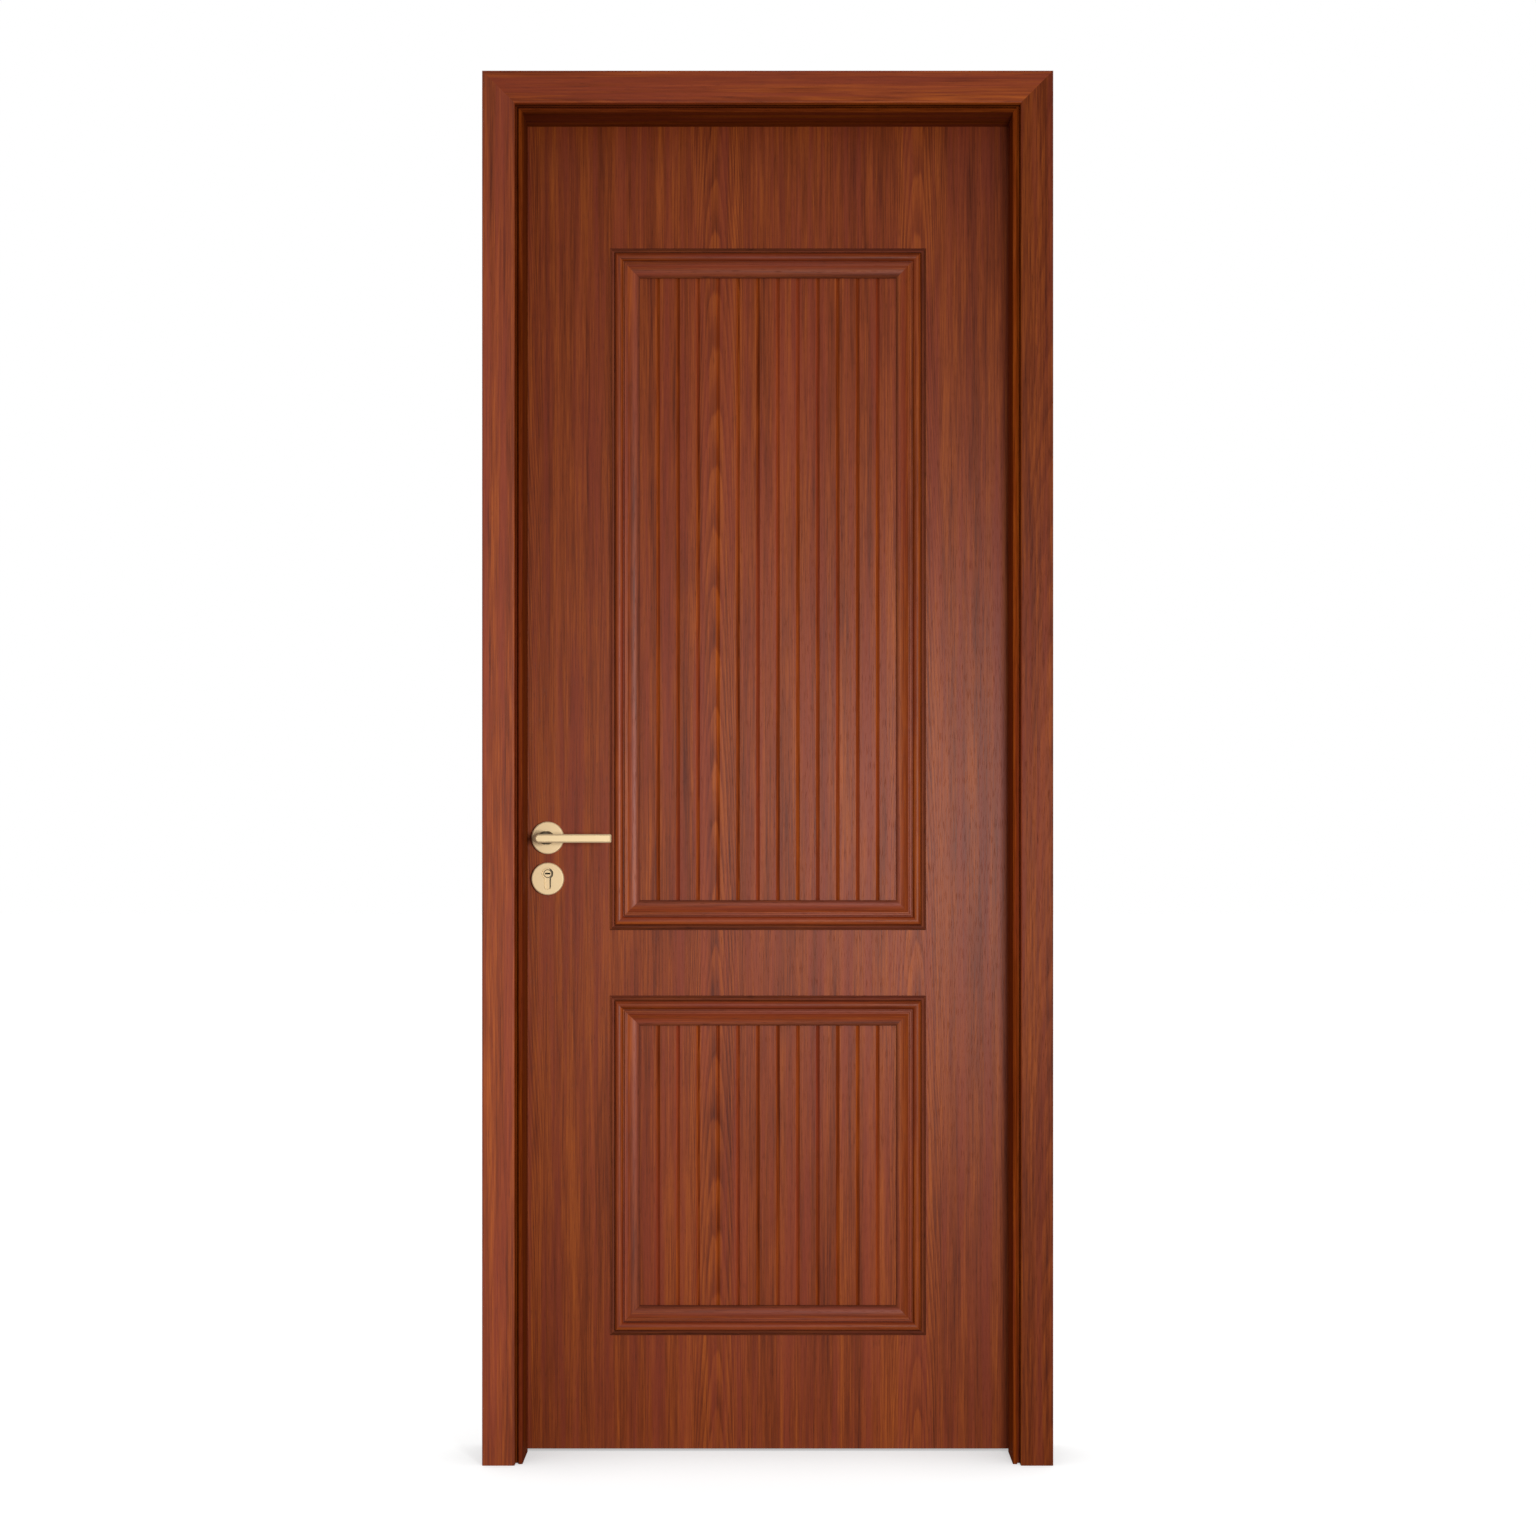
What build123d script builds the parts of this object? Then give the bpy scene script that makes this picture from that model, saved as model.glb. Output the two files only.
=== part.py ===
from build123d import *
import os

# A panelled entrance door in its frame. X runs to the right as seen from outside, Y runs
# into the building and Z up. The origin is on the floor, at mid width, in the plane of the
# closed leaf's outer face.

# clear opening and lining
opening_width = 740
opening_height = 2040
lining_depth = 128
lining_thick = 30
rebate_step = 12
stop_gap = 3
seal_kerf_width = 3
seal_kerf_depth = 8
seal_kerf_inset = 3.5
seal_clearance = 0.3
seal_bulb_width = 6

# casings on both sides of the wall
casing_width = 49
casing_thick = 10
casing_reveal = 11
lining_arris = 2
shadow_groove_width = 4.5
shadow_groove_depth = 8
back_casing_width = 40
casing_arris = 2.5
tongue_thick = 6
tongue_depth = 10
tongue_clearance = 0.2
groove_spare = 2

# leaf
leaf_thick = 42
leaf_gap = 3
floor_gap = 4
skin_thick = 5

# panel fields, their boards and the planted mouldings round them
panel_width = 395
lower_panel_base = 225
lower_panel_height = 431
upper_panel_base = 849
upper_panel_drop = 242
board_count = 13
board_tuck = 2.375
groove_width = 6
groove_depth = 2.5
groove_run_under = 10
moulding_width = 46
moulding_fillet_high = 1.2
moulding_fillet_wide = 3.5
moulding_step_high = 3.5
moulding_step_end = 6.5
moulding_bead_start = 8
moulding_bead_foot = 2.5
moulding_bead_end = 20.5
moulding_bead_high = 11
moulding_quirk_high = 5.5
moulding_ridge_start = 23
moulding_ridge_end = 25.5
moulding_ridge_high = 10
moulding_cove_start = 27.5
moulding_cove_high = 8
moulding_cove_end = 44
moulding_cove_share = 0.36
moulding_cove_mid_high = 4.5
moulding_lip_high = 3

# lock and its furniture
lever_height = 945
cylinder_drop = 55
backset = 40
rose_radius = 25
rose_thick = 8
rose_edge = 2
escutcheon_drop = 8
rose_bolt_pitch = 38
rose_bolt_radius = 2
rose_bolt_bite = 6
neck_radius = 10
neck_shoulder = 4
neck_clearance = 0.3
lever_projection = 60
lever_bar_thick = 13
lever_bar_deep = 11
lever_bar_heel = 15
lever_bar_reach = 101
lever_bar_drop = 1
neck_stand_off = 0.5
lever_tip_corner = 2.5
lever_facet = 2
lever_arris = 1.2
spindle_size = 8
spindle_clearance = 0.05
spindle_bite = 34
leaf_hole_clearance = 1
running_clearance = 0.05

lock_case_height = 165
lock_case_above = 50
lock_case_deep = 60
lock_case_thick = 15
lock_case_wall = 1.5
lock_fit = 0.3
faceplate_height = 200
faceplate_width = 22
faceplate_thick = 3
faceplate_corner = 3
faceplate_screw_rise = 91
follower_radius = 11
follower_boss_radius = 8.5
follower_arm_radius = 17
follower_arm_half = 3
follower_arm_thick = 8
latch_travel = 12
latch_height = 22
latch_rise = 13
latch_length = 33
latch_nose_flat = 2.5
latch_tail_thick = 3
latch_tail_high = 6
latch_hook_thick = 4
latch_tail_gap = 1
latch_play = 0.8
bolt_height = 18
bolt_length = 45
bolt_cam_gap = 1.5
bolt_arris = 0.5
cylinder_radius = 8.5
cylinder_tail_width = 10
cylinder_tail_drop = 24.5
cylinder_recess = 3
cylinder_proud = 2
cylinder_fit = 0.3
cylinder_screw_rise = 4.5
cylinder_screw_radius = 2.5
plug_radius = 6.5
cam_radius = 15
cam_hub_radius = 8.5
cam_thick = 10
cam_side_gap = 0.3
cam_lobe_half = 3.5
cam_bridge_gap = 0.8
keyway_width = 7.5
keyway_height = 2.2
keyway_depth = 16
turn_length = 22
turn_width = 26
turn_thick = 11
turn_gap = 0.5
turn_edge = 2

# keep in the lock jamb
strike_height = 180
strike_width = 24
strike_thick = 2.5
strike_box_wall = 1
strike_box_spare = 1.5
strike_box_margin = 3
strike_box_play = 1
strike_corner = 3
strike_screw_rise = 80
bolt_throw = 14
bolt_play = 0.5

# hinges
hinge_count = 3
hinge_lowest = 300
hinge_highest_drop = 280
hinge_height = 120
hinge_inner_height = 40
hinge_plate = 2.5
hinge_pivot_back = 6
hinge_knuckle_radius = 5.5
hinge_pin_radius = 3
hinge_knuckle_gap = 0.25
hinge_flag_front = 6
hinge_inner_setback = 6
hinge_window_gap = 0.4
hinge_cap_radius = 4.5
hinge_cap_thick = 2
hinge_screw_line = 20

# screws and wall fixings
screw_radius = 2
screw_head_radius = 4
screw_length = 16
screw_point_radius = 0.4
screw_clearance = 0.05
fixing_hole_radius = 2.75
fixing_head_radius = 6
fixing_count = 4
fixing_lowest = 160
fixing_highest_drop = 140
fixing_back = 12

# sizes that follow from those above
opening_half = opening_width / 2
lining_outer = opening_half + lining_thick
rebate_half = opening_half + rebate_step
leaf_half = rebate_half - leaf_gap
leaf_top = opening_height + rebate_step - leaf_gap
lining_back = leaf_thick
lining_front = lining_back - lining_depth
leg_thick = lining_thick - rebate_step
casing_inner = opening_half + casing_reveal
casing_outer = casing_inner + casing_width
back_casing_inner = casing_outer - back_casing_width
lower_panel_top = lower_panel_base + lower_panel_height
upper_panel_top = leaf_top - upper_panel_drop
board_pitch = (panel_width + 2 * board_tuck) / board_count
moulding_half = panel_width / 2 + moulding_width
lower_moulding = (lower_panel_base - moulding_width, lower_panel_top + moulding_width)
upper_moulding = (upper_panel_base - moulding_width, upper_panel_top + moulding_width)
core_front = skin_thick
core_thick = leaf_thick - 2 * skin_thick
leaf_mid = leaf_thick / 2

lock_x = -(leaf_half - backset)
cylinder_height = lever_height - cylinder_drop
escutcheon_height = cylinder_height - escutcheon_drop
faceplate_back = -(leaf_half - faceplate_thick)
case_top = lever_height + lock_case_above
case_base = case_top - lock_case_height
case_mid = (case_top + case_base) / 2
case_front = leaf_mid - lock_case_thick / 2
case_back = leaf_mid + lock_case_thick / 2
inner_front = case_front + lock_case_wall
inner_back = case_back - lock_case_wall
slider_front = inner_front + lock_fit
slider_back = inner_back - lock_fit
latch_base = lever_height + latch_rise
latch_hook_base = lever_height + follower_radius + lock_fit
bolt_base = cylinder_height + cam_radius + bolt_cam_gap
pivot_x = leaf_half + leaf_gap / 2
pivot_y = leaf_thick + hinge_pivot_back
hinge_pitch = (opening_height - hinge_highest_drop - hinge_lowest) / (hinge_count - 1)
hinge_heights = [hinge_lowest + row * hinge_pitch for row in range(hinge_count)]
fixing_pitch = (opening_height - fixing_highest_drop - fixing_lowest) / (fixing_count - 1)
pin_bore = hinge_pin_radius + running_clearance
pilot_radius = screw_radius + screw_clearance
spindle_hole = spindle_size + 2 * spindle_clearance
latch_tail_base = lever_height + follower_arm_radius + follower_arm_half + latch_tail_gap
strike_box_depth = bolt_throw - leaf_gap - strike_thick + strike_box_spare + strike_box_wall
strike_mid = (bolt_base + latch_base + latch_height) / 2
cylinder_screw_height = cylinder_height - cylinder_tail_drop + cylinder_screw_rise

os.makedirs("parts", exist_ok=True)


def save(piece, name):
    piece.label = name
    export_step(piece, f"parts/{name}.step")


def front_plane(y):
    # seen from outside, with the normal towards the viewer
    return Plane.XZ.offset(-y)


# section across the hinge side of the frame: local X is the distance from the middle of the
# opening and local Y is the depth. The head uses the same section, stood on its side.
head_plane = Plane(origin=(0, 0, opening_height - opening_half), x_dir=(0, 0, 1), z_dir=(-1, 0, 0))
right_mitre = Plane(origin=(opening_half, 0, opening_height), z_dir=(1, 0, -1))
left_mitre = Plane(origin=(-opening_half, 0, opening_height), z_dir=(-1, 0, -1))


def upright(draw_section):
    with BuildPart() as piece:
        with BuildSketch(Plane.XY):
            draw_section()
        extrude(amount=opening_height + casing_reveal + casing_width)
        split(bisect_by=right_mitre, keep=Keep.TOP)
    return piece


def head(draw_section):
    with BuildPart() as piece:
        with BuildSketch(head_plane):
            draw_section()
        extrude(amount=casing_outer, both=True)
        split(bisect_by=right_mitre, keep=Keep.BOTTOM)
        split(bisect_by=left_mitre, keep=Keep.BOTTOM)
    return piece


def strip(low_x, high_x, low_y, high_y, mode=Mode.ADD):
    with Locations(((low_x + high_x) / 2, (low_y + high_y) / 2)):
        Rectangle(high_x - low_x, high_y - low_y, mode=mode)


def tongue_middle(inner_edge):
    return (inner_edge + lining_outer) / 2


def groove(inner_edge, low_y, high_y):
    half = tongue_thick / 2 + tongue_clearance
    middle = tongue_middle(inner_edge)
    strip(middle - half, middle + half, low_y, high_y, mode=Mode.SUBTRACT)


def draw_lining():
    strip(opening_half, lining_outer, lining_front, -stop_gap)
    strip(rebate_half, lining_outer, -stop_gap, lining_back)
    depth = tongue_depth + groove_spare
    groove(casing_inner, lining_front, lining_front + depth)
    groove(back_casing_inner, lining_back - depth, lining_back)
    kerf = opening_half + seal_kerf_inset
    strip(kerf, kerf + seal_kerf_width, -stop_gap - seal_kerf_depth, -stop_gap, mode=Mode.SUBTRACT)
    shadow_groove_start = casing_inner - shadow_groove_width
    shadow_groove_end = lining_front + shadow_groove_depth
    strip(shadow_groove_start, casing_inner, lining_front, shadow_groove_end, mode=Mode.SUBTRACT)
    nose_corners = vertices().group_by(Axis.Y)[0].sort_by(Axis.X)[:2]
    fillet(nose_corners, lining_arris)


def draw_front_casing():
    strip(casing_inner, casing_outer, lining_front - casing_thick, lining_front)
    fillet(vertices().group_by(Axis.Y)[0], casing_arris)
    middle = tongue_middle(casing_inner)
    half = tongue_thick / 2
    strip(middle - half, middle + half, lining_front, lining_front + tongue_depth)


def draw_back_casing():
    strip(back_casing_inner, casing_outer, lining_back, lining_back + casing_thick)
    fillet(vertices().group_by(Axis.Y)[-1], casing_arris)
    middle = tongue_middle(back_casing_inner)
    half = tongue_thick / 2
    strip(middle - half, middle + half, lining_back - tongue_depth, lining_back)


def draw_seal():
    kerf = opening_half + seal_kerf_inset
    middle = kerf + seal_kerf_width / 2
    bulb = stop_gap - seal_clearance
    with Locations((middle, -stop_gap)):
        Ellipse(seal_bulb_width / 2, bulb)
    behind = -stop_gap - 2 * bulb
    strip(middle - seal_bulb_width, middle + seal_bulb_width, behind, -stop_gap, mode=Mode.SUBTRACT)
    stem_half = seal_kerf_width / 2 - seal_clearance
    stem_end = -stop_gap - seal_kerf_depth + seal_clearance
    strip(middle - stem_half, middle + stem_half, stem_end, -stop_gap)


# lining: two jambs and a head, mitred at the corners
jamb_fixings = [
    Plane(origin=(rebate_half, fixing_back, fixing_lowest + row * fixing_pitch), z_dir=(-1, 0, 0))
    for row in range(fixing_count)
]


def hinge_screw_places(inner):
    # heights above the middle of a hinge: the frame's flag is the short inner one
    reach = hinge_inner_height / 2 if inner else hinge_height / 2
    clear = reach - 2 * screw_head_radius
    if inner:
        return (-clear, clear)
    near = clear / 2 + screw_head_radius
    return (-clear, -near, near, clear)


def hinge_screw_planes(inner):
    # the head faces lie flush with each flag's free face
    face_x = rebate_half - hinge_plate if inner else leaf_half + hinge_plate
    normal = (-1, 0, 0) if inner else (1, 0, 0)
    return [
        Plane(origin=(face_x, hinge_screw_line, middle + rise), z_dir=normal)
        for middle in hinge_heights
        for rise in hinge_screw_places(inner)
    ]


def screws(planes):
    sink = screw_head_radius - screw_radius
    hung = (Align.CENTER, Align.CENTER, Align.MAX)
    with BuildPart() as group:
        with Locations(*planes):
            Cylinder(screw_radius, screw_length - screw_radius, align=hung)
            Cone(screw_radius, screw_head_radius, sink, align=hung)
        with Locations(*[plane.offset(screw_radius - screw_length) for plane in planes]):
            Cone(screw_point_radius, screw_radius, screw_radius, align=hung)
    return group


def screw_holes(planes):
    # cut in whatever part is being built: a countersink for the head and a pilot for the shank
    head_hole = screw_head_radius + screw_clearance
    with Locations(*planes):
        CounterSinkHole(pilot_radius, head_hole, depth=screw_length + screw_clearance)


with BuildPart() as plain_jamb:
    add(upright(draw_lining).part)
    with Locations(*jamb_fixings):
        CounterSinkHole(fixing_hole_radius, fixing_head_radius, depth=leg_thick)

with BuildPart() as hinge_jamb:
    add(plain_jamb.part)
    screw_holes(hinge_screw_planes(inner=True))
save(hinge_jamb.part, "hinge_jamb")

strike_screw_planes = [
    Plane(origin=(-rebate_half, leaf_mid, strike_mid + side * strike_screw_rise), z_dir=(1, 0, 0))
    for side in (-1, 1)
]


def strike_plate_outline(clearance):
    with Locations((leaf_mid, strike_mid)):
        RectangleRounded(
            strike_width + 2 * clearance,
            strike_height + 2 * clearance,
            strike_corner + clearance,
        )


def strike_box_outline(grow):
    low = bolt_base - strike_box_margin
    high = latch_base + latch_height + strike_box_margin
    with Locations((leaf_mid, (low + high) / 2)):
        Rectangle(slider_back - slider_front + 2 * (strike_box_play + grow), high - low + 2 * grow)


with BuildPart() as lock_jamb:
    add(mirror(plain_jamb.part, about=Plane.YZ, mode=Mode.PRIVATE))
    with BuildSketch(Plane.YZ.offset(-rebate_half)):
        strike_plate_outline(screw_clearance)
    extrude(amount=-strike_thick, mode=Mode.SUBTRACT)
    with BuildSketch(Plane.YZ.offset(-rebate_half)):
        strike_box_outline(strike_box_wall + seal_clearance)
    extrude(amount=-(strike_thick + strike_box_depth + seal_clearance), mode=Mode.SUBTRACT)
    screw_holes(strike_screw_planes)
save(lock_jamb.part, "lock_jamb")
save(head(draw_lining).part, "head_jamb")

# casings and seals
hinge_casing = upright(draw_front_casing)
save(hinge_casing.part, "front_casing_hinge_side")
save(mirror(hinge_casing.part, about=Plane.YZ), "front_casing_lock_side")
save(head(draw_front_casing).part, "front_casing_head")

back_hinge_casing = upright(draw_back_casing)
save(back_hinge_casing.part, "back_casing_hinge_side")
save(mirror(back_hinge_casing.part, about=Plane.YZ), "back_casing_lock_side")
save(head(draw_back_casing).part, "back_casing_head")

hinge_seal = upright(draw_seal)
save(hinge_seal.part, "seal_hinge_side")
save(mirror(hinge_seal.part, about=Plane.YZ), "seal_lock_side")
save(head(draw_seal).part, "seal_head")

# keep: a plate flush with the jamb and a dust box behind it
with BuildPart() as strike_plate:
    with BuildSketch(Plane.YZ.offset(-rebate_half)):
        strike_plate_outline(0)
        slider_width = slider_back - slider_front
        for base, height in ((latch_base, latch_height), (bolt_base, bolt_height)):
            with Locations((leaf_mid, base + height / 2)):
                Rectangle(
                    slider_width + 2 * bolt_play,
                    height + 2 * bolt_play,
                    mode=Mode.SUBTRACT,
                )
    extrude(amount=-strike_thick)
    screw_holes(strike_screw_planes)
save(strike_plate.part, "strike_plate")

with BuildPart() as strike_box:
    with BuildSketch(Plane.YZ.offset(-rebate_half - strike_thick)):
        strike_box_outline(strike_box_wall)
    extrude(amount=-strike_box_depth)
    with BuildSketch(Plane.YZ.offset(-rebate_half - strike_thick)):
        strike_box_outline(0)
    extrude(amount=strike_box_wall - strike_box_depth, mode=Mode.SUBTRACT)
save(strike_box.part, "strike_box")
save(screws(strike_screw_planes).part, "strike_screws")


# hinges: the frame's flag lies in a window of the leaf's flag, so both fit in the gap
def on_pivot(radius, low, high, mode=Mode.ADD):
    # a round piece or hole on the hinge's axis
    with Locations((pivot_x, pivot_y, low)):
        Cylinder(radius, high - low, align=(Align.CENTER, Align.CENTER, Align.MIN), mode=mode)


inner_half = hinge_inner_height / 2
outer_half = hinge_height / 2

with BuildPart() as frame_flag:
    with BuildSketch(Plane.YZ.offset(rebate_half - hinge_plate)):
        strip(hinge_flag_front + hinge_inner_setback, pivot_y, -inner_half, inner_half)
    extrude(amount=hinge_plate)
    on_pivot(hinge_knuckle_radius, -inner_half, inner_half)
    on_pivot(pin_bore, -outer_half, outer_half, mode=Mode.SUBTRACT)

with BuildPart() as frame_flags:
    with Locations(*[(0, 0, height) for height in hinge_heights]):
        add(frame_flag.part)
    screw_holes(hinge_screw_planes(inner=True))
save(frame_flags.part, "hinge_frame_flags")

with BuildPart() as leaf_flag:
    with BuildSketch(Plane.YZ.offset(leaf_half)):
        strip(hinge_flag_front, pivot_y, -outer_half, outer_half)
    extrude(amount=hinge_plate)
    window = inner_half + hinge_knuckle_gap
    with BuildSketch(Plane.YZ.offset(leaf_half)):
        strip(hinge_flag_front + hinge_inner_setback - hinge_window_gap, pivot_y, -window, window)
    extrude(amount=hinge_plate, mode=Mode.SUBTRACT)
    on_pivot(hinge_knuckle_radius, -outer_half, -window)
    on_pivot(hinge_knuckle_radius, window, outer_half)
    on_pivot(pin_bore, -outer_half, outer_half, mode=Mode.SUBTRACT)

with BuildPart() as leaf_flags:
    with Locations(*[(0, 0, height) for height in hinge_heights]):
        add(leaf_flag.part)
    screw_holes(hinge_screw_planes(inner=False))
save(leaf_flags.part, "hinge_leaf_flags")

with BuildPart() as hinge_pins:
    for height in hinge_heights:
        cap = height + outer_half + hinge_knuckle_gap
        on_pivot(hinge_pin_radius, height - outer_half, cap)
        on_pivot(hinge_cap_radius, cap, cap + hinge_cap_thick)
save(hinge_pins.part, "hinge_pins")
save(screws(hinge_screw_planes(inner=True)).part, "hinge_frame_screws")
save(screws(hinge_screw_planes(inner=False)).part, "hinge_leaf_screws")


# leaf: a frame of stiles and rails with two cores, faced on both sides
def cylinder_outline(clearance):
    drop = cylinder_tail_drop - cylinder_tail_width / 2
    with Locations((lock_x, cylinder_height)):
        Circle(cylinder_radius + clearance)
    with Locations((lock_x, cylinder_height - drop / 2)):
        SlotCenterToCenter(drop, cylinder_tail_width + 2 * clearance, rotation=90)


def rose_bolt_circles(height, radius):
    with Locations((lock_x, height)):
        with GridLocations(rose_bolt_pitch, 1, 2, 1):
            Circle(radius)


def furniture_holes(low_y, high_y, shaft_radius, clearance):
    # the way through for the spindle, the cylinder and the four rose bolts
    with BuildSketch(front_plane(high_y)) as holes:
        with Locations((lock_x, lever_height)):
            Circle(shaft_radius)
        cylinder_outline(clearance)
        for height in (lever_height, escutcheon_height):
            rose_bolt_circles(height, rose_bolt_radius + clearance)
    extrude(holes.sketch, amount=high_y - low_y, mode=Mode.SUBTRACT)


def skin(low_y, face_y, inward):
    # one face of the leaf, with the joints between the boards milled in both panel fields
    with BuildPart() as face:
        with BuildSketch(Plane.XY.offset(floor_gap)):
            strip(-leaf_half, leaf_half, low_y, low_y + skin_thick)
        extrude(amount=leaf_top - floor_gap)
        for base, top in (
            (lower_panel_base, lower_panel_top),
            (upper_panel_base, upper_panel_top),
        ):
            with BuildSketch(Plane.XY.offset(base - groove_run_under)):
                with Locations((0, face_y)):
                    with GridLocations(board_pitch, 1, board_count - 1, 1):
                        Polygon(
                            (-groove_width / 2, 0),
                            (groove_width / 2, 0),
                            (0, inward * groove_depth),
                            align=None,
                        )
            extrude(amount=top - base + 2 * groove_run_under, mode=Mode.SUBTRACT)
        furniture_holes(low_y, low_y + skin_thick, neck_radius, leaf_hole_clearance)
    return face


save(skin(0, 0, 1).part, "front_skin")
save(skin(leaf_thick - skin_thick, leaf_thick, -1).part, "back_skin")


def core_piece(low_x, high_x, low_z, high_z):
    with BuildPart() as piece:
        with BuildSketch(Plane.XY.offset(low_z)):
            strip(low_x, high_x, core_front, core_front + core_thick)
        extrude(amount=high_z - low_z)
    return piece.part


faceplate_screw_planes = [
    Plane(origin=(-leaf_half, leaf_mid, case_mid + side * faceplate_screw_rise), z_dir=(-1, 0, 0))
    for side in (-1, 1)
]


def faceplate_outline(clearance):
    with Locations((leaf_mid, case_mid)):
        RectangleRounded(
            faceplate_width + 2 * clearance,
            faceplate_height + 2 * clearance,
            faceplate_corner + clearance,
        )


with BuildPart() as lock_stile:
    add(core_piece(-leaf_half, -moulding_half, floor_gap, leaf_top))
    with BuildSketch(Plane.YZ.offset(-leaf_half)):
        faceplate_outline(screw_clearance)
    extrude(amount=faceplate_thick, mode=Mode.SUBTRACT)
    with BuildSketch(Plane.YZ.offset(-leaf_half)):
        with Locations((leaf_mid, case_mid)):
            Rectangle(lock_case_thick + 2 * lock_fit, lock_case_height + 2 * lock_fit)
    extrude(amount=faceplate_thick + lock_case_deep + lock_fit, mode=Mode.SUBTRACT)
    furniture_holes(core_front, core_front + core_thick, neck_radius, leaf_hole_clearance)
    screw_holes(faceplate_screw_planes)
save(lock_stile.part, "lock_stile")

with BuildPart() as hinge_stile:
    add(core_piece(moulding_half, leaf_half, floor_gap, leaf_top))
    screw_holes(hinge_screw_planes(inner=False))
save(hinge_stile.part, "hinge_stile")

for name, low, high in (
    ("bottom_rail", floor_gap, lower_moulding[0]),
    ("lower_core", lower_moulding[0], lower_moulding[1]),
    ("middle_rail", lower_moulding[1], upper_moulding[0]),
    ("upper_core", upper_moulding[0], upper_moulding[1]),
    ("top_rail", upper_moulding[1], leaf_top),
):
    save(core_piece(-moulding_half, moulding_half, low, high), name)


# planted mouldings: a low fillet and a step, a bead, a quirk, a ridge and a hollow that falls
# to the panel
def moulding_section(plane):
    # local X runs from the outer edge towards the panel, and local Y out of the leaf's face
    bead_middle = (moulding_bead_start + moulding_bead_end) / 2
    cove_middle = moulding_cove_start + (moulding_cove_end - moulding_cove_start) * moulding_cove_share
    with BuildSketch(plane) as section:
        with BuildLine():
            Polyline(
                (0, 0),
                (0, moulding_fillet_high),
                (moulding_fillet_wide, moulding_fillet_high),
                (moulding_fillet_wide, moulding_step_high),
                (moulding_step_end, moulding_step_high),
                (moulding_bead_start, moulding_bead_foot),
            )
            ThreePointArc(
                (moulding_bead_start, moulding_bead_foot),
                (bead_middle, moulding_bead_high),
                (moulding_bead_end, moulding_quirk_high),
            )
            Polyline(
                (moulding_bead_end, moulding_quirk_high),
                (moulding_ridge_start, moulding_quirk_high),
                (moulding_ridge_start, moulding_ridge_high),
                (moulding_ridge_end, moulding_ridge_high),
                (moulding_ridge_end, moulding_cove_high),
                (moulding_cove_start, moulding_cove_high),
            )
            ThreePointArc(
                (moulding_cove_start, moulding_cove_high),
                (cove_middle, moulding_cove_mid_high),
                (moulding_cove_end, moulding_lip_high),
            )
            Polyline(
                (moulding_cove_end, moulding_lip_high),
                (moulding_width, moulding_lip_high),
                (moulding_width, 0),
                (0, 0),
            )
        make_face()
    return section.sketch


def moulding_stick(corner, inward, outward, length):
    # the middle of the stick's outer edge is at corner, and both of its ends are mitred
    along = Vector(*inward).cross(Vector(*outward))
    with BuildPart() as stick:
        section = moulding_section(Plane(origin=corner, x_dir=inward, z_dir=along))
        extrude(section, amount=length / 2, both=True)
        for side in (-1, 1):
            end = Vector(*corner) + along * (side * length / 2)
            split(bisect_by=Plane(origin=end, z_dir=along * side + Vector(*inward)), keep=Keep.BOTTOM)
    return stick.part


def moulding_frame(face_y, outward, low, high):
    middle = (low + high) / 2
    width = 2 * moulding_half
    return {
        "bottom": moulding_stick((0, face_y, low), (0, 0, 1), outward, width),
        "top": moulding_stick((0, face_y, high), (0, 0, -1), outward, width),
        "left": moulding_stick((-moulding_half, face_y, middle), (1, 0, 0), outward, high - low),
        "right": moulding_stick((moulding_half, face_y, middle), (-1, 0, 0), outward, high - low),
    }


for panel, (low, high) in (("upper", upper_moulding), ("lower", lower_moulding)):
    for place, stick in moulding_frame(0, (0, -1, 0), low, high).items():
        save(stick, f"front_{panel}_moulding_{place}")
    back_sticks = moulding_frame(leaf_thick, (0, 1, 0), low, high)
    save(Compound(children=list(back_sticks.values())), f"back_{panel}_moulding")


# mortise lock
def slider_hole(base, height):
    # the opening in the lock's front edge for a bolt
    with Locations((leaf_mid, base + height / 2)):
        Rectangle(slider_back - slider_front + 2 * lock_fit, height + 2 * lock_fit)


def lock_front_holes(face_x, thick):
    with BuildSketch(Plane.YZ.offset(face_x)) as holes:
        slider_hole(latch_base, latch_height)
        slider_hole(bolt_base, bolt_height)
        with Locations((leaf_mid, cylinder_screw_height)):
            Circle(cylinder_screw_radius + screw_clearance)
    extrude(holes.sketch, amount=thick, mode=Mode.SUBTRACT)


def case_block(low_y, high_y, wall=0, mode=Mode.ADD):
    middle = (faceplate_back + lock_case_deep / 2, (low_y + high_y) / 2, case_mid)
    with Locations(middle):
        Box(lock_case_deep - 2 * wall, high_y - low_y, lock_case_height - 2 * wall, mode=mode)


with BuildPart() as lock_case:
    case_block(inner_front, case_back)
    case_block(inner_front, inner_back, wall=lock_case_wall, mode=Mode.SUBTRACT)
    furniture_holes(inner_front, case_back, follower_boss_radius + running_clearance, cylinder_fit)
    lock_front_holes(faceplate_back, lock_case_wall)
save(lock_case.part, "lock_case")

with BuildPart() as lock_cover:
    case_block(case_front, inner_front)
    furniture_holes(case_front, inner_front, follower_boss_radius + running_clearance, cylinder_fit)
save(lock_cover.part, "lock_cover")

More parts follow.
